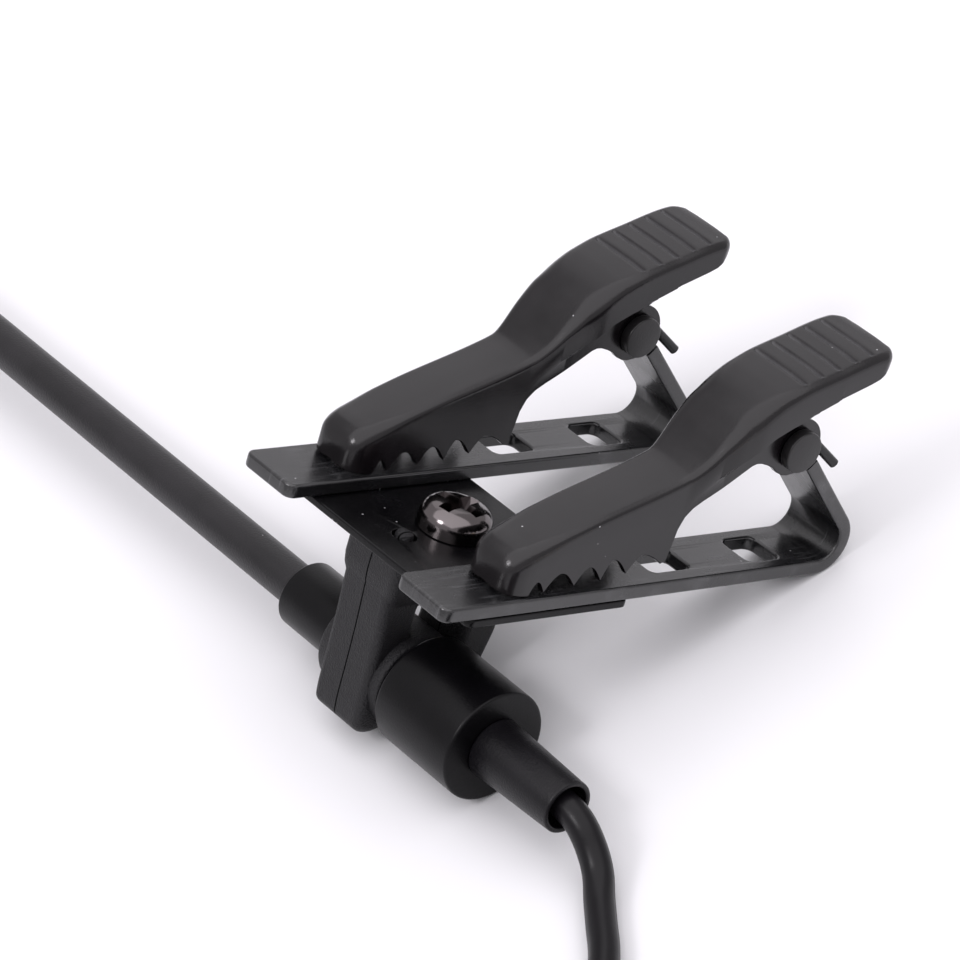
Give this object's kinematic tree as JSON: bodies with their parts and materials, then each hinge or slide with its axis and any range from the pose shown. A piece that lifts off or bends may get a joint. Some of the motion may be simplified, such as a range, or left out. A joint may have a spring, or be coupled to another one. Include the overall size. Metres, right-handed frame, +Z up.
{
  "type": "lavalier microphone",
  "caption": "Lavalier microphone in a moulded holder under joined alligator clips with sprung jaws, with a bendable boom, strain-relief boot, coiled cable and jack plug.",
  "frame": {"origin": "bottom centre of the object without its cable, coil and plug, on the surface it lies on", "axes": "+X along the microphone from the boom's capsule to the cable, +Y towards the clips' thumb pads, +Z up"},
  "size_m": [0.1691, 0.0679, 0.0172],
  "materials": {
    "black_steel": "satin black coating, slightly worn",
    "rivet_steel": "satin black",
    "spring_steel": "drawn wire",
    "black_nickel": "black nickel plate",
    "holder_plastic": "fine grain",
    "black_aluminium": "black anodised, fine grain",
    "board": "green solder mask",
    "sleeve_rubber": "satin",
    "core_steel": "bright",
    "capsule_can": "bright",
    "gasket_rubber": "matt",
    "grille_steel": "black oxide, worn",
    "boot_rubber": "soft matt",
    "cable_pvc": "satin",
    "tie_fabric": "woven",
    "handle_plastic": "satin",
    "gold_contact": "polished",
    "insulator": "gloss"
  },
  "bodies": {
    "clip": {"left_lower_jaw": "black_steel", "right_lower_jaw": "black_steel", "left_pivot_rivet": "rivet_steel", "right_pivot_rivet": "rivet_steel", "left_jaw_spring": "spring_steel", "right_jaw_spring": "spring_steel", "cross_plate": "black_steel", "clamp_screw": "black_nickel", "mic_holder": "holder_plastic", "cable_lead": "cable_pvc", "cable_coil": "cable_pvc", "cable_tie": "tie_fabric", "cable_tail": "cable_pvc", "plug_boot": "boot_rubber", "plug_handle": "handle_plastic", "plug_sleeve": "gold_contact", "plug_ring": "gold_contact", "plug_tip": "gold_contact", "plug_insulators": "insulator"},
    "microphone": {"mic_barrel": "black_aluminium", "circuit_board": "board", "neck_tube": "black_aluminium", "strain_relief_boot": "boot_rubber", "cable_entry": "cable_pvc", "boom_sleeve_inner": "sleeve_rubber", "boom_core_inner": "core_steel"},
    "boom_middle": {"boom_sleeve_middle": "sleeve_rubber", "boom_core_middle": "core_steel"},
    "boom_outer": {"boom_sleeve_outer": "sleeve_rubber", "boom_core_outer": "core_steel", "capsule_housing": "black_aluminium", "mic_capsule": "capsule_can", "capsule_gasket": "gasket_rubber", "capsule_grille": "grille_steel"},
    "left_jaw": {"left_upper_jaw": "black_steel"},
    "right_jaw": {"right_upper_jaw": "black_steel"}
  },
  "joints": [
    {"name": "left_jaw_pivot", "type": "hinge", "parent": "clip", "child": "left_jaw", "pos_m": [0.032, 0.01161, 0.01221], "axis": [-1, 0, 0], "range_deg": [0, 38], "stiffness_Nm_per_rad": 0.03, "springref_deg": -37.82, "deforming": ["left_jaw_spring"]},
    {"name": "right_jaw_pivot", "type": "hinge", "parent": "clip", "child": "right_jaw", "pos_m": [0.0487, 0.01161, 0.01221], "axis": [-1, 0, 0], "range_deg": [0, 38], "stiffness_Nm_per_rad": 0.03, "springref_deg": -37.82, "deforming": ["right_jaw_spring"]},
    {"name": "mic_swivel", "type": "hinge", "parent": "clip", "child": "microphone", "pos_m": [0.04035, -0.01585, 0.00405], "axis": [1, 0, 0], "range_deg": [-90, 90]},
    {"name": "boom_bend_inner", "type": "hinge", "parent": "microphone", "child": "boom_middle", "pos_m": [0.0054, -0.01585, 0.00405], "axis": [0, 0, 1], "range_deg": [-60, 60], "deforming": ["boom_sleeve_inner", "boom_core_inner", "boom_sleeve_middle", "boom_core_middle"]},
    {"name": "boom_bend_outer", "type": "hinge", "parent": "boom_middle", "child": "boom_outer", "pos_m": [-0.0206, -0.01585, 0.00405], "axis": [0, 0, 1], "range_deg": [-60, 60], "deforming": ["boom_sleeve_outer", "boom_core_outer"]}
  ]
}
